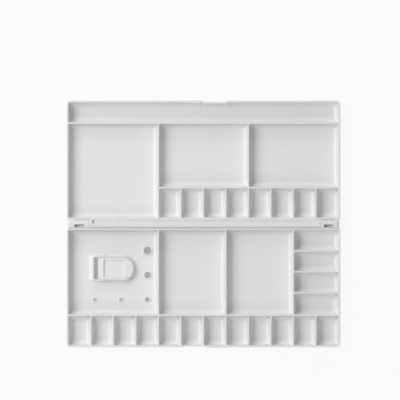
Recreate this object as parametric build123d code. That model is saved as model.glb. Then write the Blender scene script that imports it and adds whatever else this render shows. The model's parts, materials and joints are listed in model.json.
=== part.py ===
from build123d import *
import math
import os

# A folding paint palette, opened flat: two moulded leaves that fold face to face about one hinge line.
# Millimetres. X runs along the hinge, +Y goes to the far leaf, +Z is up.
# The origin is on the resting plane, straight below the middle of the fold axis.

# Overall size
overall_width = 272.0
leaf_reach = 122.5  # from the fold axis to the outer face of a front wall, at the rim
tray_height = 11.6
floor_thickness = 1.5

# Walls
rim_thickness = 1.9
divider_thickness = 1.5
wall_draft = 3.5  # degrees, inside the compartments
outer_draft = 1.5  # degrees, outside
floor_chamfer = 1.1
pocket_corner = 2.0
front_corner = 4.5
hinge_corner = 1.2
underside_chamfer = 1.4

# Compartments, on a grid of equal columns numbered from the middle
column_count = 12
far_dividers = (-2, 2)
near_dividers = (-2, 1, 4)
trough_width = 20.5
small_well_length = 29.85
side_well_length = 20.8
side_well_count = 4

# Hinge
rim_gap = 0.2  # between the rims of the folded leaves
hinge_wall_offset = 4.25  # from the fold axis to the outer face of each hinge wall
knuckle_radius = 3.9
knuckle_crown_radius = 9.0
knuckle_crown_height = 2.6  # above the fold axis
knuckle_crown_offset = 0.6
rail_from_left = 22.2  # from the left side of the palette
rail_from_right = 19.4  # from the right side
rail_end_block = 3.8
knuckle_gap = 0.3
web_depth = 3.4
gutter_radius = 2.1
gutter_offset = 1.65
gutter_centre_height = 0.3
lip_core_width = 1.2
lip_core_wall = 1.25
lug_from_side = 2.0  # from the outer face of a side wall, at full height
lug_shoulder_length = 0.6  # beyond that, below the rim
lug_core_length = 9.8
lug_core_inset = 4.2  # from the inner end of a lug
lug_core_near = 0.4
lug_core_far = 3.6
lug_core_depth = 2.0  # below the fold axis

# Hinge pins
hinge_pin_diameter = 2.2
hinge_pin_reach = 3.0  # into the end of the rail
hinge_pin_recess = 0.5
fixed_pin_clearance = 0.02  # on the radius, in the wall that holds a pin
running_clearance = 0.06  # on the radius, in the part that turns on it

# Notches and tabs in the front walls: (from X, to X)
far_notch = (0.4, 23.2)
far_notch_depth = 1.2
near_notch = (-19.5, 1.4)
near_notch_depth = 0.7
near_tab = (1.6, 23.2)
near_tab_depth = 0.3
catch_pad = (-18.4, -3.0)
catch_pad_length = 10.0
catch_pad_height = 0.5

# Thumb hole surround, a raised D with its round end to the right
surround_from_left = 26.3  # from the left side of the palette
surround_from_hinge = 44.25  # from the fold axis to the middle line of the D
surround_length = 40.4
surround_half_width = 11.95
surround_height = 4.6  # above the pan floor
surround_wall = 1.1
surround_draft = 14.0
surround_foot_height = 1.5
surround_foot_draft = 50.0
surround_chamfer = 0.5
surround_corner = 1.5

# Thumb flap
flap_gap = 0.35
flap_set_down = 0.9  # below the top of the surround
flap_thickness = 2.5
flap_slot = 4.8  # from the left end of the D to the heel
flap_heel_radius = 2.3
flap_heel_reach = 2.5  # from the left face of the heel to the pin
flap_heel_length = 3.9
flap_heel_step = 0.5
panel_from_heel = 1.8
panel_length = 20.6
panel_half_width = 8.4
panel_depth = 1.2
panel_corner = 2.4
panel_draft = 25.0
nail_notch_radius = 5.0
nail_notch_from_end = 3.9  # from the right end of the D
nail_notch_width = 1.6
nail_notch_depth = 0.5
bearing_length = 7.4
bearing_pad = 0.8
flap_pin_diameter = 2.0
flap_pin_half_length = 13.2

# Brush holes: (from the left side, from the fold axis, diameter)
brush_holes = (
    (80.3, 26.6, 7.8),
    (80.3, 51.0, 6.3),
    (80.1, 75.4, 4.5),
    (53.7, 75.5, 2.8),
    (27.7, 75.5, 2.5),
)
collar_width = 1.0  # at the pan floor
collar_height = 0.6

# Places that follow from the sizes
half_width = overall_width / 2
fold_axis_height = tray_height + rim_gap / 2
side_columns = column_count // 2
column_width = (half_width - rim_thickness) / side_columns
hinge_row = hinge_wall_offset + rim_thickness
front_row = leaf_reach - rim_thickness
well_row_near = front_row - small_well_length
well_row_far = hinge_row + small_well_length
trough_row = front_row - trough_width
rail_left = rail_from_left - half_width
rail_right = half_width - rail_from_right
thumb_centre_y = -surround_from_hinge
surround_left = surround_from_left - half_width
surround_right = surround_left + surround_length
surround_top = floor_thickness + surround_height
flap_top = surround_top - flap_set_down
flap_left = surround_left + flap_slot
flap_axis_x = flap_left + flap_heel_reach
flap_axis_height = flap_top - flap_heel_radius
heel_right = flap_left + flap_heel_length
heel_top = flap_top - flap_heel_step
panel_left = heel_right + panel_from_heel
panel_right = panel_left + panel_length
nail_notch_x = surround_right - nail_notch_from_end
down = (0, 0, -1)


def span(low, high, start, end, bottom, top):
    """A block between two values of X, of Y and of Z."""
    middle = ((low + high) / 2, (start + end) / 2, (bottom + top) / 2)
    return Pos(*middle) * Box(high - low, end - start, top - bottom)


def rounded_section(low, high, start, end, height, inset, radius):
    """A level outline with round corners, set in by some distance all round."""
    middle = Pos((low + high) / 2, (start + end) / 2, height)
    return middle * RectangleRounded(high - low - 2 * inset, end - start - 2 * inset, radius)


def wall_profile(draft, bottom, bottom_chamfer):
    """(height, inset) at the rim of a drafted wall, above its bottom chamfer and at its bottom."""
    chamfer_top = bottom + bottom_chamfer
    inset = (tray_height - chamfer_top) * math.tan(math.radians(draft))
    return (tray_height, 0), (chamfer_top, inset), (bottom, inset + bottom_chamfer)


def compartment(low, high, start, end):
    """The hollow of one compartment: drafted walls down to a chamfered floor."""
    profile = wall_profile(wall_draft, floor_thickness, floor_chamfer)
    sections = [
        rounded_section(low, high, start, end, height, inset, pocket_corner) for height, inset in profile
    ]
    return loft(sections, ruled=True)


def column(number):
    """X of the middle of a divider, or of the inner face of a side wall."""
    return number * column_width


def cell(first_column, last_column, first_row, last_row, side):
    """A compartment between two columns and two rows; rows are distances from the fold axis."""
    half = divider_thickness / 2
    low = column(first_column) + (half if first_column > -side_columns else 0)
    high = column(last_column) - (half if last_column < side_columns else 0)
    inner = first_row + (half if first_row > hinge_row else 0)
    outer = last_row - (half if last_row < front_row else 0)
    start, end = sorted((side * inner, side * outer))
    return compartment(low, high, start, end)


def leaf_section(side, height, inset):
    """The outside of a leaf at one height, with its two front corners rounder than the two by the hinge."""
    start, end = sorted((side * (hinge_wall_offset + inset), side * (leaf_reach - inset)))
    outline = Pos(0, (start + end) / 2, height) * Rectangle(overall_width - 2 * inset, end - start)
    by_hinge, in_front = outline.vertices().group_by(Axis.Y)[:: int(side)]
    outline = fillet(in_front, front_corner)
    by_hinge = outline.vertices().group_by(Axis.Y)[0 if side > 0 else -1]
    return fillet(by_hinge, hinge_corner)


def leaf_blank(side):
    """The outside of a leaf, before its compartments are taken out."""
    profile = wall_profile(outer_draft, 0, underside_chamfer)
    return loft([leaf_section(side, height, inset) for height, inset in profile], ruled=True)


def far_cells():
    """Brush trough, three mixing pans and eight small wells."""
    left, right = far_dividers
    last = side_columns
    cells = [cell(-last, last, trough_row, front_row, 1), cell(-last, left, hinge_row, trough_row, 1)]
    cells += [cell(first, end, well_row_far, trough_row, 1) for first, end in ((left, right), (right, last))]
    cells += [cell(first, first + 1, hinge_row, well_row_far, 1) for first in range(left, last)]
    return cells


def near_cells():
    """Three mixing pans, four side wells and twelve small wells."""
    last = side_columns
    columns = (-last, *near_dividers)
    cells = [cell(first, end, hinge_row, well_row_near, -1) for first, end in zip(columns, columns[1:])]
    rows = [hinge_row + number * side_well_length for number in range(side_well_count)] + [well_row_near]
    cells += [cell(columns[-1], last, first, end, -1) for first, end in zip(rows, rows[1:])]
    cells += [cell(first, first + 1, well_row_near, front_row, -1) for first in range(-last, last)]
    return cells


def knuckle_section():
    """The hinge knuckle seen along the fold axis: a circle about the axis under a flatter crown."""
    crown = Pos(knuckle_crown_offset, knuckle_crown_height - knuckle_crown_radius)
    return Circle(knuckle_radius) & crown * Circle(knuckle_crown_radius)


def web_section(side):
    """The web that joins a knuckle to the hinge wall of its leaf, level with the rim."""
    inside_wall = side * (hinge_wall_offset + rim_thickness / 2)
    top = -rim_gap / 2
    return Pos(inside_wall / 2, (top - web_depth) / 2) * Rectangle(abs(inside_wall), top + web_depth)


def along_hinge(section, low, high):
    """Carry a section along the fold axis from one X to another."""
    return extrude(Plane.YZ.offset(low) * Pos(0, fold_axis_height) * section, amount=high - low)


def hinge_bore(low, high, radius):
    return along_hinge(Circle(radius), low, high)


def hinge_rail():
    """The rail of the far leaf, with a gutter along its top, a cored lip and solid ends for the pins."""
    solid_section = knuckle_section() + web_section(1)
    gutter_top = knuckle_crown_height + gutter_radius
    gutter_side = Pos(gutter_offset, gutter_centre_height + gutter_top / 2) * Rectangle(
        2 * gutter_radius, gutter_top
    )
    gutter = Pos(gutter_offset, gutter_centre_height) * Circle(gutter_radius) + gutter_side
    core_middle = -knuckle_radius + lip_core_wall + lip_core_width / 2
    core_top = knuckle_crown_height / 2 - lip_core_wall / 2
    core_height = core_top + knuckle_radius
    core = Pos(core_middle, core_top - core_height / 2) * Rectangle(lip_core_width, core_height)
    rail = along_hinge(solid_section, rail_left, rail_right)
    hollows = along_hinge(gutter + core, rail_left + rail_end_block, rail_right - rail_end_block)
    bore = hinge_pin_diameter / 2 + running_clearance
    blind = hinge_pin_reach + knuckle_gap
    rail -= hollows
    rail -= hinge_bore(rail_left, rail_left + blind, bore)
    return rail - hinge_bore(rail_right - blind, rail_right, bore)


def hinge_lug(side):
    """A lug of the near leaf, at the left (-1) or the right (1) end of the rail."""
    inner = abs(rail_left if side < 0 else rail_right) + knuckle_gap
    section = knuckle_section() + web_section(-1)
    outer = half_width - lug_from_side
    shoulder = outer + lug_shoulder_length
    low, high = sorted((side * inner, side * outer))
    lug = along_hinge(section, low, high)
    low, high = sorted((side * outer, side * shoulder))
    below_rim = Pos(0, -knuckle_radius / 2 - rim_gap / 2) * Rectangle(2 * knuckle_radius, knuckle_radius)
    lug += along_hinge((Circle(knuckle_radius) & below_rim) + web_section(-1), low, high)
    core_start = inner + lug_core_inset
    low, high = sorted((side * core_start, side * (core_start + lug_core_length)))
    floor = fold_axis_height - lug_core_depth
    lug -= span(low, high, -lug_core_far, -lug_core_near, floor, fold_axis_height + knuckle_radius)
    low, high = sorted((side * (inner - knuckle_gap), side * (shoulder + knuckle_gap)))
    return lug - hinge_bore(low, high, hinge_pin_diameter / 2 + fixed_pin_clearance)


def hinge_pin(side):
    """A pin from the outer end of a lug into the end of the rail."""
    tip = abs(rail_left if side < 0 else rail_right) - hinge_pin_reach
    low, high = sorted((side * tip, side * (half_width - lug_from_side - hinge_pin_recess)))
    return hinge_bore(low, high, hinge_pin_diameter / 2)


def front_notch(limits, depth, side):
    """What a notch takes out of the outer face of a front wall."""
    start, end = sorted((side * (leaf_reach - depth), side * (leaf_reach + depth)))
    return span(*limits, start, end, -depth, tray_height + depth)


def notch_backing():
    """The far front wall's thickening behind its finger notch."""
    low, high = far_notch
    depth = far_notch_depth
    start, end = front_row - depth, front_row + rim_thickness / 2
    return span(low - depth, high + depth, start, end, floor_thickness / 2, tray_height)


def catch_pad_solid():
    """A low pad on the trough floor that runs up the inside of the front wall."""
    low, high = catch_pad
    profile = Plane.YZ.offset(low) * Polyline(
        (front_row + rim_thickness / 2, floor_thickness / 2),
        (front_row - catch_pad_length, floor_thickness / 2),
        (front_row - catch_pad_length, floor_thickness + catch_pad_height),
        (front_row - catch_pad_height, floor_thickness + catch_pad_height),
        (front_row - catch_pad_height, tray_height),
        (front_row + rim_thickness / 2, tray_height),
        close=True,
    )
    return extrude(make_face(profile), amount=high - low)


def far_leaf():
    leaf = leaf_blank(1) - far_cells() + notch_backing() - front_notch(far_notch, far_notch_depth, 1)
    return leaf + catch_pad_solid() + hinge_rail()


def surround_outline(grow):
    """The D outline of the thumb hole surround, grown or shrunk all round."""
    half = surround_half_width + grow
    left, right = surround_left - grow, surround_right + grow
    centre = right - half
    straight = Pos((left + centre) / 2, thumb_centre_y) * Rectangle(centre - left, 2 * half)
    return straight + Pos(centre, thumb_centre_y) * Circle(half)


def surround_layer(top, height, grow, draft):
    """One level of the raised D, with the two pads that carry the flap's pin, wider towards its bottom."""
    outline = surround_outline(grow)
    outline = fillet(outline.vertices().group_by(Axis.X)[0], surround_corner + grow)
    pads = rounded_section(
        flap_axis_x - bearing_length / 2,
        flap_axis_x + bearing_length / 2,
        thumb_centre_y - surround_half_width - bearing_pad,
        thumb_centre_y + surround_half_width + bearing_pad,
        0,
        -grow,
        surround_corner + grow,
    )
    place = Pos(0, 0, top)
    raised, bearings = [extrude(place * area, height, dir=down, taper=-draft) for area in (outline, pads)]
    return raised + bearings


def surround_solid():
    """The raised D: steep sides above a flared foot."""
    height = surround_height - surround_foot_height
    grow = height * math.tan(math.radians(surround_draft))
    foot_top = floor_thickness + surround_foot_height
    upper = surround_layer(surround_top, height, 0, surround_draft)
    return upper + surround_layer(foot_top, surround_foot_height, grow, surround_foot_draft)


def thumb_hole():
    """The D opening inside the surround, chamfered at its top and open through the floor."""
    opening = surround_outline(-surround_wall)
    hole = extrude(opening, amount=surround_top)
    mouth = Pos(0, 0, surround_top) * surround_outline(surround_chamfer - surround_wall)
    return hole + extrude(mouth, amount=surround_chamfer, dir=down, taper=45)


def flap_pin_bore(half_length, radius):
    axis = Plane.XZ.offset(-thumb_centre_y) * Pos(flap_axis_x, flap_axis_height)
    return extrude(axis * Circle(radius), amount=half_length, both=True)


def near_leaf():
    leaf = leaf_blank(-1) - near_cells() - front_notch(near_notch, near_notch_depth, -1)
    low, high = near_tab
    leaf += span(low, high, -leaf_reach - near_tab_depth, -front_row, tray_height / 2, tray_height)
    leaf = leaf + surround_solid() - thumb_hole()
    beyond = surround_half_width + surround_height
    leaf -= flap_pin_bore(beyond, flap_pin_diameter / 2 + fixed_pin_clearance)
    for from_left, from_hinge, diameter in brush_holes:
        place = Pos(from_left - half_width, -from_hinge, floor_thickness + collar_height / 2)
        leaf += place * Cone(diameter / 2 + collar_width, diameter / 2, collar_height)
        leaf -= place * Cylinder(diameter / 2, 2 * tray_height)
    return leaf + hinge_lug(-1) + hinge_lug(1)


def flap_panel():
    """The sunk panel: square corners by the heel, round ones towards the free end."""
    middle = Pos((panel_left + panel_right) / 2, thumb_centre_y, flap_top)
    outline = middle * Rectangle(panel_right - panel_left, 2 * panel_half_width)
    outline = fillet(outline.vertices().group_by(Axis.X)[-1], panel_corner)
    return extrude(outline, amount=panel_depth, dir=down, taper=panel_draft)


def nail_notch():
    """A crescent for a finger nail, hollow side towards the panel."""
    middle = Pos(nail_notch_x - nail_notch_radius, thumb_centre_y, flap_top)
    crescent = Circle(nail_notch_radius) - Pos(-nail_notch_width) * Circle(nail_notch_radius)
    return extrude(middle * crescent, amount=nail_notch_depth, dir=down)


def thumb_flap():
    """The flap: a D plate with a sunk panel, and a heel that turns on the pin."""
    outline = surround_outline(-surround_wall - flap_gap)
    low, high = thumb_centre_y - surround_half_width, thumb_centre_y + surround_half_width
    plate = extrude(Pos(0, 0, flap_top) * outline, amount=flap_thickness, dir=down)
    plate &= span(heel_right, surround_right, low, high, 0, surround_top)
    half = surround_half_width - surround_wall - flap_gap
    axis = Plane.XZ.offset(-thumb_centre_y) * Pos(flap_axis_x, flap_axis_height)
    barrel = extrude(axis * Circle(flap_heel_radius), amount=half, both=True)
    heel = barrel + span(
        flap_left,
        heel_right,
        thumb_centre_y - half,
        thumb_centre_y + half,
        flap_axis_height,
        heel_top,
    )
    heel &= span(flap_left, surround_right, low, high, 0, heel_top)
    flap = plate + heel - flap_panel() - nail_notch()
    return flap - flap_pin_bore(surround_half_width, flap_pin_diameter / 2 + running_clearance)


parts = {
    "lower_tray": near_leaf(),
    "upper_tray": far_leaf(),
    "hinge_pin_left": hinge_pin(-1),
    "hinge_pin_right": hinge_pin(1),
    "thumb_flap": thumb_flap(),
    "thumb_flap_pin": flap_pin_bore(flap_pin_half_length, flap_pin_diameter / 2),
}

os.makedirs("parts", exist_ok=True)
for name, shape in parts.items():
    export_step(shape, f"parts/{name}.step")
    print(name, len(shape.solids()), round(shape.volume))
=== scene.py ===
import json
import math

import bmesh
import bpy
import numpy as np
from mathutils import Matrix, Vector
from mathutils.geometry import delaunay_2d_cdt


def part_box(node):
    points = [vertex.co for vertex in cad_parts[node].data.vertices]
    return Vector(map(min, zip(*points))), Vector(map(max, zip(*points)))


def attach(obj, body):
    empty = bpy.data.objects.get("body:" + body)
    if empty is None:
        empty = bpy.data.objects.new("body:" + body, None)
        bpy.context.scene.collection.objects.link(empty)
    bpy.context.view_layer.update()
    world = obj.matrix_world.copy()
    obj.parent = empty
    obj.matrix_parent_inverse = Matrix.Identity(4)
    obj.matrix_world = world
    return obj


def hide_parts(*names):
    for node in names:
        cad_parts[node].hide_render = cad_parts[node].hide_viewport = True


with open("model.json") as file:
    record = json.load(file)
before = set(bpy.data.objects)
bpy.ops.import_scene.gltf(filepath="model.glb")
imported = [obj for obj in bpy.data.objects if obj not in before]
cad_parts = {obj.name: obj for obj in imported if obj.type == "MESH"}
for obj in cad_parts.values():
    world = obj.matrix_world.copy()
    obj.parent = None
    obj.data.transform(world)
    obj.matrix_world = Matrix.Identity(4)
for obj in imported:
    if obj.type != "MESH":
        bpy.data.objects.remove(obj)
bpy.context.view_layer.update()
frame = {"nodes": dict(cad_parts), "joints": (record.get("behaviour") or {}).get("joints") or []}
print("frame loaded:", ", ".join(sorted(frame["nodes"])))

# All shapes below are worked out in millimetres and put into their meshes in metres.
mm = 0.001
hair = 0.001  # keeps two rounded corners apart where they would just meet
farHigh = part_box("upper_tray")[1] / mm
foldJoint = next(joint for joint in frame["joints"] if joint["name"] == "fold")
swingJoint = next(joint for joint in frame["joints"] if joint["name"] == "flap_swing")

leaf = {
    "halfWidth": farHigh.x,
    "reach": farHigh.y,
    "rimHeight": 11.6,
    "floorHeight": 1.5,
    "rim": 1.9,
    "divider": 1.5,
    "hingeWall": 4.25,  # from the fold axis to the outer face of each hinge wall
    "foldHeight": foldJoint["pos_m"][2] / mm,
    "frontCorner": 4.5,
    "hingeCorner": 1.2,
    "pocketCorner": 1.0,
    "jogCorner": 0.4,
    "leastCorner": 0.15,  # of an outline that is offset by more than its corner's radius
    "rimRound": 0.3,
    "outerDraft": 1.5,
    "wallDraft": 3.5,
    "floorRound": 4.5,
    "undersideRound": 1.6,
    "arcSteps": 10,
    "roundSteps": 7,
}
leaf["column"] = (leaf["halfWidth"] - leaf["rim"]) / 6
leaf["hingeRow"] = leaf["hingeWall"] + leaf["rim"]
leaf["frontRow"] = leaf["reach"] - leaf["rim"]


def arcPoints(centre, radius, fromAngle, toAngle, count):
    # points evenly spaced in angle on a circle, angles in degrees
    angle = np.radians(np.linspace(fromAngle, toAngle, count))
    return np.stack([centre[0] + radius * np.cos(angle), centre[1] + radius * np.sin(angle)], axis=1)


def roundedLoop(corners, radii, inset, steps=leaf["arcSteps"], follow=None):
    # Each side of a counter-clockwise outline moves inwards by the inset, and each corner becomes an arc:
    # its tangent length is the radius times the tangent of half the turn. Where follow is 1 the radius
    # shrinks with the inset, as a true offset does, and where it is 0 it stays.
    corners, radii = np.asarray(corners, float), np.asarray(radii, float)
    follow = np.ones(len(radii)) if follow is None else np.asarray(follow, float)
    ahead = np.roll(corners, -1, axis=0) - corners
    ahead /= np.linalg.norm(ahead, axis=1)[:, None]
    behind = np.roll(ahead, 1, axis=0)
    normalAhead = np.stack([-ahead[:, 1], ahead[:, 0]], axis=1)
    normalBehind = np.stack([-behind[:, 1], behind[:, 0]], axis=1)
    share = 1 + (normalAhead * normalBehind).sum(1)
    moved = corners + inset * (normalAhead + normalBehind) / share[:, None]
    sine = behind[:, 0] * ahead[:, 1] - behind[:, 1] * ahead[:, 0]
    turn = np.arctan2(sine, (ahead * behind).sum(1))
    side = np.sign(turn)
    radius = np.maximum(radii - follow * inset * side, np.minimum(radii, leaf["leastCorner"]))
    start = moved - behind * (radius * np.tan(np.abs(turn) / 2))[:, None]
    centre = start + (side * radius)[:, None] * normalBehind
    base = np.arctan2(-side * normalBehind[:, 1], -side * normalBehind[:, 0])
    angle = base[:, None] + turn[:, None] * np.linspace(0, 1, steps + 1)[None, :]
    points = centre[:, None, :] + radius[:, None, None] * np.stack([np.cos(angle), np.sin(angle)], axis=2)
    return points.reshape(-1, 2)


def rectangle(lowX, highX, lowY, highY):
    # the four corners, counter-clockwise from the lowest
    return [(lowX, lowY), (highX, lowY), (highX, highY), (lowX, highY)]


def quarterRound(radius, fromAngle):
    # offsets from the centre of a quarter circle, from one angle through 90 degrees more
    angle = np.radians(np.linspace(fromAngle, fromAngle + 90, leaf["roundSteps"] + 1))
    return radius * np.cos(angle), radius * np.sin(angle)


class Shell:
    # Collects rings, strips and flat regions, welds them and makes one closed mesh.

    def __init__(self):
        self.points, self.faces, self.count = [], [], 0

    def add(self, points, faces):
        self.points.append(np.asarray(points, float))
        self.faces.extend((np.asarray(faces) + self.count).tolist())
        self.count += len(points)

    def rings(self, loops, closed=True):
        # Quads between neighbouring loops of the same number of points.
        grid = np.stack(loops)
        rows, columns = grid.shape[:2]
        index = np.arange(rows * columns).reshape(rows, columns)
        beside = np.roll(index, -1, axis=1)
        quads = np.stack([index[:-1], beside[:-1], beside[1:], index[1:]], axis=2)
        if not closed:
            quads = quads[:, :-1]
        self.add(grid.reshape(-1, 3), quads.reshape(-1, 4))

    def sweep(self, outline, profile, place=None):
        # The surface of two parameters: along an outline, and down a profile of (inset, height) pairs.
        place = place or level
        self.rings([place(outline(inset), height) for inset, height in profile])

    def fill(self, outer, holes, height, place=None):
        # A plane region between an outline and its holes, as a constrained triangulation.
        place = place or level
        loops = [np.asarray(outer, float)] + [np.asarray(hole, float) for hole in holes]
        sizes = [len(loop) for loop in loops]
        starts = np.cumsum([0] + sizes[:-1])
        index = [start + np.arange(size) for start, size in zip(starts, sizes)]
        edges = np.concatenate([np.column_stack([run, np.roll(run, -1)]) for run in index])
        given = list(map(Vector, np.concatenate(loops)))
        made = delaunay_2d_cdt(given, edges.tolist(), [], 0, 1e-7, False)
        spots, triangles = np.array(list(map(tuple, made[0]))), np.array(made[2])
        middle = spots[triangles].mean(1)
        keep = inside(middle, loops[0])
        for loop in loops[1:]:
            keep &= ~inside(middle, loop)
        self.add(place(spots, height), triangles[keep])

    def bar(self, outline, low, high, edge, place, holes=((), ())):
        # A section carried along a line, its ends rounded by quarter circles and filled. The edge is one
        # radius for both ends, or a pair.
        first, last = edge if isinstance(edge, tuple) else (edge, edge)
        across, up = quarterRound(first, 90)
        start = [(first + a, low + first - u) for a, u in zip(across, up)]
        across, up = quarterRound(last, 90)
        end = [(last + a, high - last + u) for a, u in zip(across[::-1], up[::-1])]
        self.sweep(outline, start + end, place)
        self.fill(outline(first), holes[0], low, place)
        self.fill(outline(last), holes[1], high, place)

    def mesh(self, name, weld=0.002):
        # Points closer than the weld become one, and the faces are turned outwards.
        data = bpy.data.meshes.new(name)
        data.from_pydata((np.concatenate(self.points) * mm).tolist(), [], self.faces)
        work = bmesh.new()
        work.from_mesh(data)
        bmesh.ops.remove_doubles(work, verts=work.verts, dist=weld * mm)
        bmesh.ops.dissolve_degenerate(work, edges=work.edges, dist=weld * mm)
        bmesh.ops.recalc_face_normals(work, faces=work.faces)
        work.to_mesh(data)
        work.free()
        return data


def level(points, height):
    # a plan's points as (X, Y), at a height
    return np.column_stack([points, np.full(len(points), height)])


def alongX(points, distance):
    # a section's points as (Y, Z), at a distance along X
    return np.column_stack([np.full(len(points), distance), points])


def alongY(points, distance):
    # a section's points as (X, Z), at a distance along Y
    return np.column_stack([points[:, 0], np.full(len(points), distance), points[:, 1]])


def alongFold(points, distance):
    # a section's points measured from the fold axis
    return alongX(points + (0, leaf["foldHeight"]), distance)


def inside(spots, loop):
    # A spot is inside where a level line to its right crosses the loop an odd number of times.
    x, y = spots[:, 0][:, None], spots[:, 1][:, None]
    startX, startY = loop[:, 0][None, :], loop[:, 1][None, :]
    endX, endY = np.roll(loop[:, 0], -1)[None, :], np.roll(loop[:, 1], -1)[None, :]
    crosses = (startY > y) != (endY > y)
    rise = np.where(endY == startY, 1e-12, endY - startY)
    return (crosses & (x < startX + (y - startY) * (endX - startX) / rise)).sum(1) % 2 == 1


def finishPiece(name, data, body, smoothAngle=40):
    # An object at the origin that rides on its body, shaded smooth except over edges past the angle.
    piece = bpy.data.objects.new(name, data)
    bpy.context.scene.collection.objects.link(piece)
    data.shade_smooth()
    data.set_sharp_from_angle(angle=math.radians(smoothAngle))
    weighted = piece.modifiers.new("normals", "WEIGHTED_NORMAL")
    weighted.keep_sharp = True
    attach(piece, body)
    return piece


# The walls of both leaves: rounded rims, drafted sides and rounded bottoms
def outerProfile():
    # Inset and height: a quarter round over the rim, down the drafted side, and another into the bottom.
    rim, under = leaf["rimRound"], leaf["undersideRound"]
    slope = math.tan(math.radians(leaf["outerDraft"]))
    across, up = quarterRound(rim, 90)
    profile = [(rim + a, leaf["rimHeight"] - rim + u) for a, u in zip(across, up)]
    base = (leaf["rimHeight"] - under) * slope
    across, up = quarterRound(under, 180)
    return profile + [(base + under + a, under + u) for a, u in zip(across, up)]


def pocketProfile():
    # Inset and height: a quarter round over the mouth, down the drafted wall, and another into the floor.
    rim, bottom = leaf["rimRound"], leaf["floorRound"]
    slope = math.tan(math.radians(leaf["wallDraft"]))
    across, up = quarterRound(rim, 0)
    profile = [(-rim + a, leaf["rimHeight"] - rim + u) for a, u in zip(across[::-1], up[::-1])]
    base = (leaf["rimHeight"] - leaf["floorHeight"] - bottom) * slope
    across, up = quarterRound(bottom, 180)
    height = leaf["floorHeight"] + bottom
    return profile + [(base + bottom + a, height + u) for a, u in zip(across, up)]


def pocketOutline(firstColumn, lastColumn, nearRow, farRow, side):
    # A rectangle between two columns and two rows, which are distances from the fold axis. A wall on the
    # rim has no half divider, and the corners keep their radius down to the floor.
    half = leaf["divider"] / 2
    lowX = firstColumn * leaf["column"] + (half if firstColumn > -6 else 0)
    highX = lastColumn * leaf["column"] - (half if lastColumn < 6 else 0)
    start = nearRow + (half if nearRow > leaf["hingeRow"] else 0)
    end = farRow - (half if farRow < leaf["frontRow"] else 0)
    lowY, highY = sorted((side * start, side * end))
    corners = rectangle(lowX, highX, lowY, highY)
    return lambda inset: roundedLoop(corners, [leaf["pocketCorner"]] * 4, inset, follow=[0] * 4)


def addLeaf(shell, outline, pockets, pierced, undersideHoles):
    # The rim between the outline and the mouths, every pocket, the outside and the underside.
    outside, hollow = outerProfile(), pocketProfile()
    mouths = [pocket(hollow[0][0]) for pocket in pockets]
    shell.fill(outline(outside[0][0]), mouths, leaf["rimHeight"])
    for number, pocket in enumerate(pockets):
        shell.sweep(pocket, hollow)
        shell.fill(pocket(hollow[-1][0]), pierced.get(number, []), leaf["floorHeight"])
    shell.sweep(outline, outside)
    shell.fill(outline(outside[-1][0]), undersideHoles, 0.0)


# The far leaf: a brush trough, three mixing pans and eight small wells
farTray = {
    "wellLength": 29.85,
    "troughWidth": 20.5,
    "notch": (0.4, 23.2),
    "notchDepth": 1.2,
}


def farOutline(inset):
    # The leaf's rectangle with a shallow finger notch in its front wall.
    wide, near, far = leaf["halfWidth"], leaf["hingeWall"], leaf["reach"]
    low, high = farTray["notch"]
    back = far - farTray["notchDepth"]
    corners = [
        (-wide, near), (wide, near), (wide, far), (high, far),
        (high, back), (low, back), (low, far), (-wide, far),
    ]
    jog = leaf["jogCorner"]
    radii = [leaf["hingeCorner"]] * 2 + [leaf["frontCorner"]] + [jog] * 4 + [leaf["frontCorner"]]
    return roundedLoop(corners, radii, inset, follow=[1, 1, 1, 0, 0, 0, 0, 1])


def troughOutline(inset):
    # The trough's mouth steps inwards behind the finger notch, where the wall keeps its thickness.
    wide, front = leaf["column"] * 6, leaf["frontRow"]
    near = front - farTray["troughWidth"] + leaf["divider"] / 2
    depth, jog, corner = farTray["notchDepth"], leaf["jogCorner"], leaf["pocketCorner"]
    low, high = farTray["notch"][0] - depth, farTray["notch"][1] + depth
    back = front - depth
    corners = [
        (-wide, near), (wide, near), (wide, front), (high, front),
        (high, back), (low, back), (low, front), (-wide, front),
    ]
    return roundedLoop(corners, [corner] * 3 + [jog] * 4 + [corner], inset, follow=[0] * 8)


def makeFarTray():
    # The leaf's outline, less the trough, three pans and eight wells.
    back, front = leaf["hingeRow"], leaf["frontRow"]
    trough, wells = front - farTray["troughWidth"], back + farTray["wellLength"]
    pockets = [troughOutline, pocketOutline(-6, -2, back, trough, 1)]
    pockets += [pocketOutline(first, first + 4, wells, trough, 1) for first in (-2, 2)]
    pockets += [pocketOutline(first, first + 1, back, wells, 1) for first in range(-2, 6)]
    shell = Shell()
    addLeaf(shell, farOutline, pockets, {}, [])
    piece = finishPiece("far_tray", shell.mesh("far_tray"), "far_leaf")
    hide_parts("upper_tray")
    return piece


farPiece = makeFarTray()
print("far tray made")

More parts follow.
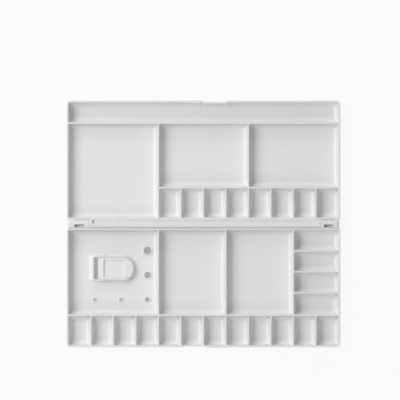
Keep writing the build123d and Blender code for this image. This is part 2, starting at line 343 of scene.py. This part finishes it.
# The near leaf: three mixing pans, four side wells and twelve small wells
nearTray = {
    "wellLength": 29.85,
    "sideWellLength": 20.8,
    "notch": (-19.5, 1.4),
    "notchDepth": 0.7,
    "jogCorner": 0.32,
}
brushHoles = {
    "places": (  # from the left side, from the fold axis, and the diameter
        (80.3, 26.6, 7.8), (80.3, 51.0, 6.3), (80.1, 75.4, 4.5), (53.7, 75.5, 2.8), (27.7, 75.5, 2.5),
    ),
    "collarWidth": 1.4,
    "collarHeight": 1.2,
    "collarTop": 0.7,  # the width of its level top
    "edgeRound": 0.2,
    "segments": 48,
}
thumbSurround = {
    "left": 26.3,  # from the left side of the palette
    "middle": 44.25,  # from the fold axis
    "length": 40.4,
    "halfWidth": 11.95,
    "height": 5.6,
    "wall": 1.1,
    "draft": 6.0,
    "footRound": 2.0,
    "leftFlare": 2.1,  # the slopes of the two ends are this much wider than the others
    "rightFlare": 1.35,
    "topRound": 0.35,
    "mouthChamfer": 0.65,
    "corner": 1.5,
    "padHalfLength": 3.7,
    "padDepth": 0.8,
    "padTop": 0.3,  # its share of the depth at the top edge
    "padCorner": 0.45,  # also a share of the depth
    "leastPad": 0.002,
    "arcSteps": 24,
    "footSteps": 9,
}
surroundLeft = thumbSurround["left"] - leaf["halfWidth"]
surroundRight = surroundLeft + thumbSurround["length"]
surroundTop = leaf["floorHeight"] + thumbSurround["height"]
thumbMiddle = -thumbSurround["middle"]


def nearOutline(inset):
    # The leaf's rectangle with a shallow thumb notch in its front wall.
    wide, back, front = leaf["halfWidth"], -leaf["hingeWall"], -leaf["reach"]
    low, high = nearTray["notch"]
    cut = front + nearTray["notchDepth"]
    corners = [
        (-wide, front), (low, front), (low, cut), (high, cut),
        (high, front), (wide, front), (wide, back), (-wide, back),
    ]
    jogs = [nearTray["jogCorner"]] * 4
    radii = [leaf["frontCorner"]] + jogs + [leaf["frontCorner"]] + [leaf["hingeCorner"]] * 2
    return roundedLoop(corners, radii, inset, follow=[1, 0, 0, 0, 0, 1, 1, 1])


def surroundOutline(grow, pad):
    # A D with its round end to the right; the two bearing pads are jogs that fade out where pad is 0.
    half = thumbSurround["halfWidth"]
    low, high = thumbMiddle - half, thumbMiddle + half
    depth = max(pad, thumbSurround["leastPad"])
    left = swingJoint["pos_m"][0] / mm - thumbSurround["padHalfLength"]
    right = left + 2 * thumbSurround["padHalfLength"]
    end = surroundLeft - (thumbSurround["leftFlare"] - 1) * max(grow, 0.0)
    tip = surroundRight + (thumbSurround["rightFlare"] - 1) * max(grow, 0.0)
    corners = [
        (end, low), (left, low), (left, low - depth), (right, low - depth), (right, low),
        (tip, low), (tip, high), (right, high), (right, high + depth),
        (left, high + depth), (left, high), (end, high),
    ]
    jogs = [thumbSurround["padCorner"] * depth] * 4
    corner = thumbSurround["corner"]
    radii = [corner] + jogs + [half - hair] * 2 + jogs + [corner]
    follow = [1, 0, 0, 0, 0, 1, 1, 0, 0, 0, 0, 1]
    return roundedLoop(corners, radii, -grow, thumbSurround["arcSteps"], follow)


def surroundProfile():
    # Growth, height and pad depth: up through the hole, over the chamfer and the top, down the flared side.
    part = thumbSurround
    top, slope = surroundTop, math.tan(math.radians(part["draft"]))
    wall, chamfer, edge = part["wall"], part["mouthChamfer"], part["topRound"]
    stations = [(-wall, 0.0, 0), (-wall, top - chamfer, 0), (chamfer - wall, top, 0)]
    across, up = quarterRound(edge, 90)
    stations += [(-edge - a, top - edge + u, part["padTop"] * part["padDepth"]) for a, u in zip(across, up)]
    foot = part["footRound"]
    turn = np.radians(np.linspace(180 + part["draft"], 270, part["footSteps"]))
    base = leaf["floorHeight"] + foot
    reach = (top - base) * slope + foot / math.cos(math.radians(part["draft"]))
    stations += [(reach + foot * math.cos(t), base + foot * math.sin(t), part["padDepth"]) for t in turn]
    return stations


def addSurround(shell):
    # One outline that grows and shrinks up the profile; its first and last rings bound the two planes.
    loops = [level(surroundOutline(grow, pad), height) for grow, height, pad in surroundProfile()]
    shell.rings(loops)
    return loops[0][:, :2], loops[-1][:, :2]


def circle(place, radius):
    # one whole turn, without its repeated last point
    return arcPoints(place, radius, 0, 360, brushHoles["segments"] + 1)[:-1]


def addBrushHole(shell, place, radius):
    # A bore from the underside, a rounded lip and a low cone down to the floor.
    edge, top = brushHoles["edgeRound"], leaf["floorHeight"] + brushHoles["collarHeight"]
    across, up = quarterRound(edge, 180)
    profile = [(radius + edge, 0.0), (radius, edge)]
    profile += [(radius + edge + a, top - edge - u) for a, u in zip(across, up)]
    profile.append((radius + edge + brushHoles["collarTop"], top))
    profile.append((radius + brushHoles["collarWidth"], leaf["floorHeight"]))
    shell.sweep(lambda size: circle(place, size), profile)
    return circle(place, profile[0][0]), circle(place, profile[-1][0])


def makeNearTray():
    # The leaf's outline, less its pans and wells; the first pan's floor has the surround and the holes.
    back, front = leaf["hingeRow"], leaf["frontRow"]
    wells = front - nearTray["wellLength"]
    columns = (-6, -2, 1, 4)
    rows = [back + number * nearTray["sideWellLength"] for number in range(4)] + [wells]
    pockets = [pocketOutline(first, last, back, wells, -1) for first, last in zip(columns, columns[1:])]
    pockets += [pocketOutline(4, 6, start, end, -1) for start, end in zip(rows, rows[1:])]
    pockets += [pocketOutline(first, first + 1, wells, front, -1) for first in range(-6, 6)]
    shell = Shell()
    holes = [addSurround(shell)]
    for fromLeft, fromHinge, diameter in brushHoles["places"]:
        holes.append(addBrushHole(shell, (fromLeft - leaf["halfWidth"], -fromHinge), diameter / 2))
    addLeaf(shell, nearOutline, pockets, {0: [hole[1] for hole in holes]}, [hole[0] for hole in holes])
    piece = finishPiece("near_tray", shell.mesh("near_tray"), "near_leaf")
    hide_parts("lower_tray")
    return piece


nearPiece = makeNearTray()
print("near tray made")

# The hinge: a rail on the far leaf, and a lug at each end of it on the near leaf
hinge = {
    "railFromLeft": 22.2,
    "railFromRight": 19.4,
    "endBlock": 3.3,
    "gap": 0.15,
    "radius": 3.9,
    "crownRadius": 9.0,
    "crownCentre": (0.6, -6.402),
    "crownAngles": (73.1, 117.6),
    "kneeAngles": (34.6, 156.2),
    "kneeFoot": 1.8,  # degrees below level, where the knuckle meets the top of its web
    "coredKnee": 158.2,  # of the lugs' cored length
    "webTop": -0.12,
    "webBottom": -3.4,
    "webAngle": 29.3,  # from straight down to where the web leaves the knuckle
    "webCorner": 0.1,
    "railRadius": 3.7,  # of the guttered length, which keeps further from the near leaf than its end blocks
    "railKnee": 160.0,
    "gutter": (  # each corner's place and radius, from the far leaf's wall to the lip
        ((4.22, -0.12), 0.1), ((3.5, -1.5), 0.9), ((1.9, -1.5), 1.0),
        ((-0.9, 2.3), 0.35), ((-2.4, 1.95), 0.6),
    ),
    "lipCore": (-2.65, -1.45, 0.6),
    "lipCorner": 0.3,
    "lugCore": (-3.45, -0.4, -2.0),
    "lugCorner": 0.4,
    "lugRim": 1.55,  # the top of the wall between the core-out and the near leaf
    "lugRimCorner": 0.05,
    "lugCoreStart": {-1: 4.2, 1: 3.1},
    "lugCoreLength": {-1: 9.8, 1: 9.1},
    "lugEnd": 134.0,
    "shoulderEnd": 134.6,
    "boreRadius": 1.12,
    "boreDepth": 1.0,
    "shoulderFoot": 2.0,  # degrees below level, where the shoulder's round ends
    "grooveFoot": 6.0,  # and where its groove does
    "endRound": 0.9,
    "edge": 0.25,
    "cornerSteps": 6,
    "within": 0.02,  # how far a cored section keeps inside the solid ones it runs into
}
railLeft = hinge["railFromLeft"] - leaf["halfWidth"]
railRight = leaf["halfWidth"] - hinge["railFromRight"]
webEnd = leaf["hingeWall"] + leaf["rim"] / 2


def knuckleArc(start, end, count, radius=hinge["radius"]):
    # sharp corners along a circle round the fold axis, as (place, radius) pairs
    return [(tuple(point), 0.0) for point in arcPoints((0, 0), radius, start, end, count)]


def crownArc(start, end, count):
    # the same along the flatter circle of the crown
    points = arcPoints(hinge["crownCentre"], hinge["crownRadius"], start, end, count)
    return [(tuple(point), 0.0) for point in points]


def web(side):
    # the two outer corners of the web that joins a knuckle to its leaf, in the outline's direction
    corners = [(side * webEnd, hinge["webBottom"]), (side * webEnd, hinge["webTop"])]
    return [(corner, hinge["webCorner"]) for corner in corners[::side]]


def crownAngle(across):
    # where the crown's circle stands at a distance across the axis
    return math.degrees(math.acos((across - hinge["crownCentre"][0]) / hinge["crownRadius"]))


def sectionOutline(parts, within=0.0):
    # an outline to be offset, from (place, radius) pairs
    corners, radii = zip(*parts)
    return lambda inset: roundedLoop(corners, radii, inset + within, hinge["cornerSteps"])


def railSection(guttered):
    # Counter-clockwise: round the back of the knuckle, along the web, up to the gutter, over the lip.
    foot = 270 + hinge["webAngle"]
    if not guttered:
        far, near = hinge["kneeAngles"]
        parts = knuckleArc(near, foot, count=24) + web(1) + knuckleArc(-hinge["kneeFoot"], far, count=8)
        return sectionOutline(parts + crownArc(*hinge["crownAngles"], count=12)[1:-1])
    low, high, top = hinge["lipCore"]
    slim = hinge["railRadius"]
    mouth = [270 - math.degrees(math.asin(-edge / slim)) for edge in (low, high)]
    parts = knuckleArc(hinge["railKnee"], mouth[0], count=12, radius=slim)
    parts += [((edge, top), hinge["lipCorner"]) for edge in (low, high)]
    parts += knuckleArc(mouth[1], foot, count=10, radius=slim)
    return sectionOutline(parts + web(1) + list(hinge["gutter"]))


def lugSection(cored):
    # Counter-clockwise: the near knee, the web, round the back of the knuckle, over the crown.
    far, near = hinge["kneeAngles"]
    start, end = hinge["crownAngles"]
    foot = 180 + hinge["kneeFoot"]
    back = web(-1) + knuckleArc(270 - hinge["webAngle"], 360 + far, count=24)
    if not cored:
        return sectionOutline(knuckleArc(near, foot, count=6) + back + crownArc(start, end, count=12)[1:-1])
    left, right, bottom = hinge["lugCore"]
    parts = knuckleArc(hinge["coredKnee"], foot, count=6) + back
    parts += crownArc(start, crownAngle(right), count=6)[1:]
    parts += [((edge, bottom), hinge["lugCorner"]) for edge in (right, left)]
    parts.append(((left, hinge["lugRim"]), hinge["lugRimCorner"]))
    return sectionOutline(parts, hinge["within"])


def shoulderSection():
    # The lower half of a lug, with a groove under the pin.
    dip = hinge["grooveFoot"]
    under = knuckleArc(270 - hinge["webAngle"], 360 - hinge["shoulderFoot"], count=20)
    groove = knuckleArc(-dip, dip - 180, count=13, radius=hinge["boreRadius"])
    return sectionOutline(web(-1) + under + groove, hinge["within"])


def makeHingeRail():
    # A guttered middle between two solid blocks that take the pins, and that it runs into.
    edge, block = hinge["edge"], hinge["endBlock"]
    low, high = railLeft + block - 2 * edge, railRight - block + 2 * edge
    shell = Shell()
    shell.bar(railSection(True), low, high, edge / 2, alongFold)
    shell.bar(railSection(False), railLeft, railLeft + block, edge, alongFold)
    shell.bar(railSection(False), railRight - block, railRight, edge, alongFold)
    return finishPiece("hinge_rail", shell.mesh("hinge_rail"), "far_leaf")


def makeHingeLug(side, name):
    # Two solid blocks with a cored length between them, a bored outer end and a shoulder below the rim.
    inner = (-railLeft if side < 0 else railRight) + hinge["gap"]
    outer, edge = hinge["lugEnd"], hinge["edge"]
    coreStart = inner + hinge["lugCoreStart"][side]
    coreEnd = coreStart + hinge["lugCoreLength"][side]
    bore = [circle((0, 0), hinge["boreRadius"])]
    cored = sorted((side * (coreStart - 2 * edge), side * (coreEnd + 2 * edge)))
    shell = Shell()
    shell.bar(lugSection(True), *cored, edge / 2, alongFold)
    shell.bar(lugSection(False), *sorted((side * inner, side * coreStart)), edge, alongFold)
    ends = (bore, ()) if side < 0 else ((), bore)
    rounded = (hinge["endRound"], edge) if side < 0 else (edge, hinge["endRound"])
    shell.bar(lugSection(False), *sorted((side * coreEnd, side * outer)), rounded, alongFold, ends)
    depth = outer - hinge["boreDepth"]
    shell.rings([alongFold(bore[0], side * distance) for distance in (outer, depth)])
    shell.fill(bore[0], (), side * depth, alongFold)
    shoulder = sorted((side * (outer - edge), side * hinge["shoulderEnd"]))
    shell.bar(shoulderSection(), *shoulder, edge / 2, alongFold)
    return finishPiece(name, shell.mesh(name), "near_leaf")


railPiece = makeHingeRail()
leftLug = makeHingeLug(-1, "hinge_lug_left")
rightLug = makeHingeLug(1, "hinge_lug_right")
print("hinge made")

# The catch: a low pad in the trough that runs up the front wall, and a pull tab on the near leaf
catch = {
    "pad": (-18.4, -3.0),
    "padLength": 10.0,
    "padHeight": 0.5,
    "padSlope": 0.6,
    "padRadii": (0.1, 0.1, 0.1, 0.3),  # of the corners in the wall and at the top
    "padEndRadius": 0.4,
    "tab": (1.6, 23.2),
    "tabDepth": 0.3,
    "tabBottom": 5.8,
    "tabRadii": (0.3, 0.1, 0.1, 0.8),
    "topGap": 0.03,  # below the rim, so that the two tops don't lie in one plane
    "edge": 0.3,
}


def makeCatchPad():
    # An L that lies on the trough's floor and runs up the front wall, carried across.
    front, floor, height = leaf["frontRow"], leaf["floorHeight"], catch["padHeight"]
    top, back = leaf["rimHeight"] - catch["topGap"], front + leaf["rim"] / 2
    corners = [
        (front - catch["padLength"], floor / 2), (back, floor / 2), (back, top), (front - height, top),
        (front - height - catch["padSlope"], floor + height), (front - catch["padLength"], floor + height),
    ]
    radii = [*catch["padRadii"], leaf["floorRound"] - height, catch["padEndRadius"]]
    shell = Shell()
    shell.bar(lambda inset: roundedLoop(corners, radii, inset), *catch["pad"], catch["edge"], alongX)
    return finishPiece("catch_pad", shell.mesh("catch_pad"), "far_leaf")


def makePullTab():
    # A rounded rectangle that stands out of the front wall, carried across.
    front, top = -leaf["reach"], leaf["rimHeight"] - catch["topGap"]
    section = rectangle(front - catch["tabDepth"], front + leaf["rim"], catch["tabBottom"], top)
    radii = catch["tabRadii"]
    shell = Shell()
    shell.bar(lambda inset: roundedLoop(section, radii, inset), *catch["tab"], catch["edge"] / 2, alongX)
    return finishPiece("pull_tab", shell.mesh("pull_tab"), "near_leaf")


catchPiece = makeCatchPad()
tabPiece = makePullTab()
print("catch made")

# The thumb flap: a D plate with a sunk panel and a nail crescent, and a heel that turns on the pin
thumbFlap = {
    "gap": 0.2,
    "setDown": 0.5,
    "thickness": 2.9,
    "heelLeft": -2.5,  # from the flap's pin
    "plateLeft": 1.4,
    "plateCorner": 0.1,
    "heelRadius": 2.3,
    "heelCorners": (2.3, 2.29, 0.1, 0.35),
    "heelStep": 0.7,
    "panelLeft": 3.2,  # from the flap's pin
    "panelLength": 20.6,
    "panelHalfWidth": 8.4,
    "panelDepth": 1.6,
    "panelCorners": (0.2, 2.4, 2.4, 0.2),
    "panelDraft": 16.0,
    "panelMouth": 0.15,
    "panelRoot": 0.3,
    "nailRadius": 5.0,
    "nailFromEnd": 3.9,
    "nailWidth": 1.6,
    "nailDepth": 0.5,
    "nailSpan": 80.0,  # degrees to each side
    "nailSteps": (33, 9),
    "edge": 0.3,
    "arcSteps": 32,
}
swingX, swingZ = swingJoint["pos_m"][0] / mm, swingJoint["pos_m"][2] / mm
flapTop = surroundTop - thumbFlap["setDown"]
flapHalf = thumbSurround["halfWidth"] - thumbSurround["wall"] - thumbFlap["gap"]


def addNailNotch(shell):
    # Along t an arc, across u a parabola; its width and depth close towards both ends as an ellipse does.
    t, u = np.meshgrid(*[np.linspace(-1, 1, steps) for steps in thumbFlap["nailSteps"]])
    taper = np.sqrt(1 - t * t)
    angle = np.radians(thumbFlap["nailSpan"]) * t
    half = thumbFlap["nailWidth"] / 2
    radius = thumbFlap["nailRadius"] - half + half * u * taper
    x = surroundRight - thumbFlap["nailFromEnd"] - thumbFlap["nailRadius"] + radius * np.cos(angle)
    y = thumbMiddle + radius * np.sin(angle)
    z = flapTop - thumbFlap["nailDepth"] * (1 - u * u) * taper
    grid = np.stack([x, y, z], axis=2)
    shell.rings(list(grid), closed=False)
    return np.concatenate([grid[-1, :, :2], grid[0, -2:0:-1, :2]])


def makeThumbFlap():
    # A plate, less a drafted panel and the nail's crescent, and a heel that is rounded round the pin.
    part = thumbFlap
    edge, bottom = part["edge"], flapTop - part["thickness"]
    low, high = thumbMiddle - flapHalf, thumbMiddle + flapHalf
    right = surroundRight - thumbSurround["wall"] - part["gap"]
    plate = rectangle(swingX + part["plateLeft"], right, low, high)
    plateRadii = [part["plateCorner"], flapHalf - hair, flapHalf - hair, part["plateCorner"]]
    across, up = quarterRound(edge, 90)
    profile = [(edge + a, flapTop - edge + u) for a, u in zip(across, up)]
    across, up = quarterRound(edge, 180)
    profile += [(edge + a, bottom + edge + u) for a, u in zip(across, up)]

    def outline(inset):
        return roundedLoop(plate, plateRadii, inset, part["arcSteps"])

    shell = Shell()
    shell.sweep(outline, profile)

    panelLeft = swingX + part["panelLeft"]
    half = part["panelHalfWidth"]
    panel = rectangle(panelLeft, panelLeft + part["panelLength"], thumbMiddle - half, thumbMiddle + half)
    slope = math.tan(math.radians(part["panelDraft"]))
    mouth, root, floor = part["panelMouth"], part["panelRoot"], flapTop - part["panelDepth"]
    across, up = quarterRound(mouth, 0)
    sunk = [(-mouth + a, flapTop - mouth + u) for a, u in zip(across[::-1], up[::-1])]
    across, up = quarterRound(root, 180)
    sunk += [((part["panelDepth"] - root) * slope + root + a, floor + root + u) for a, u in zip(across, up)]

    def recess(inset):
        return roundedLoop(panel, part["panelCorners"], inset)

    shell.sweep(recess, sunk)
    shell.fill(recess(sunk[-1][0]), (), floor)
    nail = addNailNotch(shell)
    shell.fill(outline(profile[0][0]), [recess(sunk[0][0]), nail], flapTop)
    shell.fill(outline(profile[-1][0]), (), bottom)

    heelTop, heelBottom = flapTop - part["heelStep"], swingZ - part["heelRadius"]
    heel = rectangle(swingX + part["heelLeft"], swingX + part["heelRadius"], heelBottom, heelTop)
    shell.bar(lambda inset: roundedLoop(heel, part["heelCorners"], inset), low, high, edge / 2, alongY)
    piece = finishPiece("thumb_flap_panel", shell.mesh("thumb_flap_panel"), "flap")
    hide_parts("thumb_flap")
    return piece


flapPiece = makeThumbFlap()
print("thumb flap made")


# Finishes
class Wire:
    # A socket that takes part in sums: each operator adds a Math node.

    def __init__(self, nodes, socket):
        self.nodes, self.socket = nodes, socket

    def __add__(self, other):
        return self.nodes.maths("ADD", self, other)

    def __sub__(self, other):
        return self.nodes.maths("SUBTRACT", self, other)

    def __rsub__(self, other):
        return self.nodes.maths("SUBTRACT", other, self)

    def __mul__(self, other):
        return self.nodes.maths("MULTIPLY", self, other)

    __radd__, __rmul__ = __add__, __mul__


class Finish:
    # A material whose nodes come from one method.

    def __init__(self, name):
        self.material = bpy.data.materials.new(name)
        self.material.use_nodes = True
        self.tree = self.material.node_tree
        self.tree.nodes.clear()

    def add(self, kind, settings=None, values=None, output=0):
        # settings come first, then each input by its name or number, as a value or a wire
        node = self.tree.nodes.new(kind)
        for name, value in (settings or {}).items():
            setattr(node, name, value)
        for name, value in (values or {}).items():
            if isinstance(value, Wire):
                self.tree.links.new(value.socket, node.inputs[name])
            else:
                node.inputs[name].default_value = value
        return Wire(self, node.outputs[output]) if node.outputs else None

    def maths(self, operation, first, second):
        return self.add("ShaderNodeMath", {"operation": operation}, {0: first, 1: second})

    def place(self):
        return self.add("ShaderNodeTexCoord", output="Object")

    def noise(self, scale, detail=2.0, roughness=0.5):
        values = {"Vector": self.place(), "Scale": scale, "Detail": detail, "Roughness": roughness}
        return self.add("ShaderNodeTexNoise", {}, values)

    def blend(self, factor, dark, light):
        # one colour where the factor is 0, the other where it is 1
        values = {"Factor": factor, "A": (*dark, 1), "B": (*light, 1)}
        node = self.tree.nodes.new("ShaderNodeMix")
        node.data_type = "RGBA"
        for socket in node.inputs:
            if socket.enabled and socket.name in values:
                value = values[socket.name]
                if isinstance(value, Wire):
                    self.tree.links.new(value.socket, socket)
                else:
                    socket.default_value = value
        return Wire(self, next(socket for socket in node.outputs if socket.enabled))

    def finish(self, shader):
        self.add("ShaderNodeOutputMaterial", {}, {"Surface": shader})
        return self.material


mouldedPlastic = {
    "trayColour": (0.825, 0.827, 0.825),
    "flapColour": (0.85, 0.847, 0.834),
    "shade": 0.975,  # of the colour, where the melt has flowed unevenly
    "flowScale": 22.0,
    "flowDetail": 3.0,
    "grainScale": 2600.0,
    "grainDepth": 0.00002,
    "grainRoughness": 0.6,
    "grainStrength": 0.25,
    "roughness": 0.3,
    "flowSpread": 0.08,  # of the roughness
    "grainSpread": 0.06,
    "refraction": 1.49,
}
turnedSteel = {
    "ringScale": (9000.0, 300.0, 300.0),  # close along the pin and drawn out round it
    "dark": (0.42, 0.42, 0.43),
    "light": (0.58, 0.58, 0.59),
    "roughness": 0.28,
    "roughnessSpread": 0.14,
}


def plastic(name, colour):
    # Slow cloudy variation of colour and gloss, and a fine moulded grain in the bump.
    look = mouldedPlastic
    made = Finish(name)
    flow = made.noise(look["flowScale"], look["flowDetail"])
    grain = made.noise(look["grainScale"], roughness=look["grainRoughness"])
    shaded = tuple(look["shade"] * value for value in colour)
    tint = made.blend(flow, shaded, colour)
    rough = look["roughness"] + look["flowSpread"] * (flow - 0.5) + look["grainSpread"] * (grain - 0.5)
    relief = {"Strength": look["grainStrength"], "Distance": look["grainDepth"], "Height": grain}
    bump = made.add("ShaderNodeBump", {}, relief)
    values = {"Base Color": tint, "Roughness": rough, "Normal": bump, "IOR": look["refraction"]}
    return made.finish(made.add("ShaderNodeBsdfPrincipled", {}, values))


def steel(name):
    # Fine rings round the pin, drawn out by turning.
    look = turnedSteel
    made = Finish(name)
    stretched = made.add("ShaderNodeMapping", {}, {"Vector": made.place(), "Scale": look["ringScale"]})
    rings = made.add("ShaderNodeTexNoise", {}, {"Vector": stretched, "Scale": 1.0, "Detail": 2.0})
    tint = made.blend(rings, look["dark"], look["light"])
    rough = look["roughness"] + look["roughnessSpread"] * rings
    values = {"Base Color": tint, "Roughness": rough, "Metallic": 1.0}
    return made.finish(made.add("ShaderNodeBsdfPrincipled", {}, values))


def dress(piece, material):
    # the piece's only material
    piece.data.materials.clear()
    piece.data.materials.append(material)


trayWhite = plastic("tray_plastic", mouldedPlastic["trayColour"])
flapWhite = plastic("flap_plastic", mouldedPlastic["flapColour"])
pinSteel = steel("pin_metal")
for piece in (farPiece, nearPiece, railPiece, leftLug, rightLug, catchPiece, tabPiece):
    dress(piece, trayWhite)
dress(flapPiece, flapWhite)
for name in ("hinge_pin_left", "hinge_pin_right", "thumb_flap_pin"):
    for slot in frame["nodes"][name].material_slots:
        slot.material = pinSteel
print("finishes made")

# The studio: a pale floor with painted shade below the near leaf, a soft window at the left, two weaker
# cards, a pale sky and a camera overhead
studio = {
    "floorSize": 60.0,
    "floorDrop": 0.0001,  # below the underside, so that the two don't lie in one plane
    "floorColour": (0.90, 0.90, 0.90),
    "floorWhite": 0.975,
    "floorGlow": 0.94,
    # painted shade: the grey the camera sees on the paper below the near leaf, and the box it fills
    "paintedShadeColour": (0.385, 0.38, 0.37),
    "paintedShadeCentre": (0.0, -0.0569),
    "paintedShadeHalf": (0.13, 0.0611),
    "skyColour": (1.04, 1.0, 0.95),  # slightly warm, and the lamps slightly cool
    "skyStrength": 0.27,
    "lampColour": (0.985, 1.0, 1.02),
    "lampDistance": 2.0,
    "lamps": (  # name, power, width, height, azimuth and elevation in degrees
        ("window", 26.0, 1.3, 1.3, 160.0, 47.0),
        ("card_far", 7.5, 1.6, 0.6, 95.0, 28.0),
        ("card_near", 7.8, 1.6, 0.9, 275.0, 40.0),
    ),
    "cameraAim": (-0.0034, 0.0237),
    "cameraDistance": 6.0,
    "frameWidth": 0.3974,
}


def makeFloor():
    # A large square that the camera sees at its own brightness, and that still takes the shadow.
    half = studio["floorSize"] / 2
    data = bpy.data.meshes.new("floor")
    corners = [(x, y, -studio["floorDrop"]) for x, y in rectangle(-half, half, -half, half)]
    data.from_pydata(corners, [], [(0, 1, 2, 3)])
    piece = bpy.data.objects.new("floor", data)
    bpy.context.scene.collection.objects.link(piece)
    made = Finish("floor_paper")
    # painted shade: the paper shows darker below the near leaf, in place of the shade there, which only its
    # holes and the hinge gap show
    under = 1.0
    for axis in (0, 1):
        along = made.add("ShaderNodeSeparateXYZ", {}, {0: made.place()}, output=axis)
        away = made.maths("ABSOLUTE", along - studio["paintedShadeCentre"][axis], 0.0)
        under = under * made.maths("LESS_THAN", away, studio["paintedShadeHalf"][axis])
    matte = made.add("ShaderNodeBsdfDiffuse", {}, {"Color": (*studio["floorColour"], 1)})
    shown = made.blend(under, (studio["floorWhite"],) * 3, studio["paintedShadeColour"])
    glow = made.add("ShaderNodeEmission", {}, {"Color": shown, "Strength": 1.0})
    seen = made.add("ShaderNodeLightPath", output="Is Camera Ray")
    mixed = made.add("ShaderNodeMixShader", {}, {0: seen * studio["floorGlow"], 1: matte, 2: glow})
    dress(piece, made.finish(mixed))


def makeLights():
    # Each lamp stands on a sphere round the object and faces its middle.
    for name, power, width, height, azimuth, elevation in studio["lamps"]:
        azimuth, elevation = math.radians(azimuth), math.radians(elevation)
        flat = math.cos(elevation)
        direction = Vector((math.cos(azimuth) * flat, math.sin(azimuth) * flat, math.sin(elevation)))
        lamp = bpy.data.lights.new(name, "AREA")
        lamp.shape = "RECTANGLE"
        lamp.size, lamp.size_y, lamp.energy = width, height, power
        lamp.color = studio["lampColour"]
        holder = bpy.data.objects.new(name, lamp)
        holder.location = direction * studio["lampDistance"]
        holder.rotation_euler = direction.to_track_quat("Z", "Y").to_euler()
        bpy.context.scene.collection.objects.link(holder)
    world = bpy.data.worlds.new("sky")
    world.use_nodes = True
    sky = world.node_tree.nodes["Background"]
    sky.inputs["Color"].default_value = (*studio["skyColour"], 1)
    sky.inputs["Strength"].default_value = studio["skyStrength"]
    bpy.context.scene.world = world


def makeCamera():
    # The lens that shows the photograph's width at the height of the rims.
    lens = bpy.data.cameras.new("overhead")
    lens.sensor_width = 36.0
    lens.lens = lens.sensor_width * studio["cameraDistance"] / studio["frameWidth"]
    camera = bpy.data.objects.new("overhead", lens)
    camera.location = (*studio["cameraAim"], studio["cameraDistance"] + leaf["rimHeight"] * mm)
    bpy.context.scene.collection.objects.link(camera)
    bpy.context.scene.camera = camera


makeFloor()
makeLights()
makeCamera()
bpy.context.scene.view_settings.view_transform = "Standard"
print("studio made")
